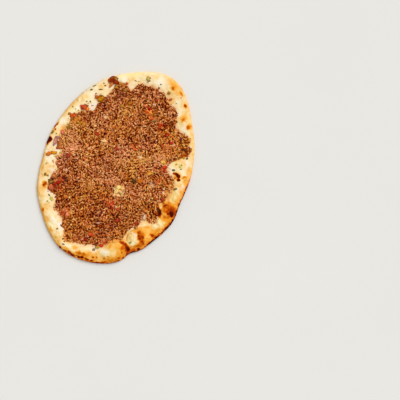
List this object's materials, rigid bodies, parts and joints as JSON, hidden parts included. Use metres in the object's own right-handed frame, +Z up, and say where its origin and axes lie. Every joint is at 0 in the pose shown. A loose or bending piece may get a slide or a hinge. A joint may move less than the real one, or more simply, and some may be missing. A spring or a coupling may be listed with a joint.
{
  "type": "lahmacun",
  "caption": "Thin oval flatbread with a blistered, browned rim, covered with a layer of spiced mince and pieces of tomato, pepper and onion.",
  "frame": {"origin": "on the table, under the middle of the bread's box", "axes": "+Z up; +Y along the long axis of the oval, towards its narrower end; +X across it"},
  "size_m": [0.1908, 0.26, 0.0127],
  "materials": {
    "crust": "dry baked dough, matt, browned in patches",
    "mince": "cooked mince, slightly oily",
    "tomato": "moist baked tomato",
    "browned_piece": "charred, dull",
    "pepper": "moist baked pepper",
    "onion": "soft translucent baked onion"
  },
  "bodies": {
    "root": {"flatbread": "crust", "mince_topping": "mince", "tomato_rim_left": "tomato", "tomato_margin_left": "tomato", "tomato_upper": "tomato", "tomato_middle": "tomato", "tomato_right": "tomato", "tomato_right_low": "tomato", "tomato_low_left": "tomato", "tomato_left": "tomato", "tomato_low": "tomato", "tomato_lower_margin": "tomato", "tomato_foot": "tomato", "tomato_head": "tomato", "tomato_browned": "browned_piece", "tomato_charred": "browned_piece", "pepper_rim": "pepper", "pepper_strip_left": "pepper", "onion_left": "onion", "onion_low": "onion"}
  },
  "joints": []
}
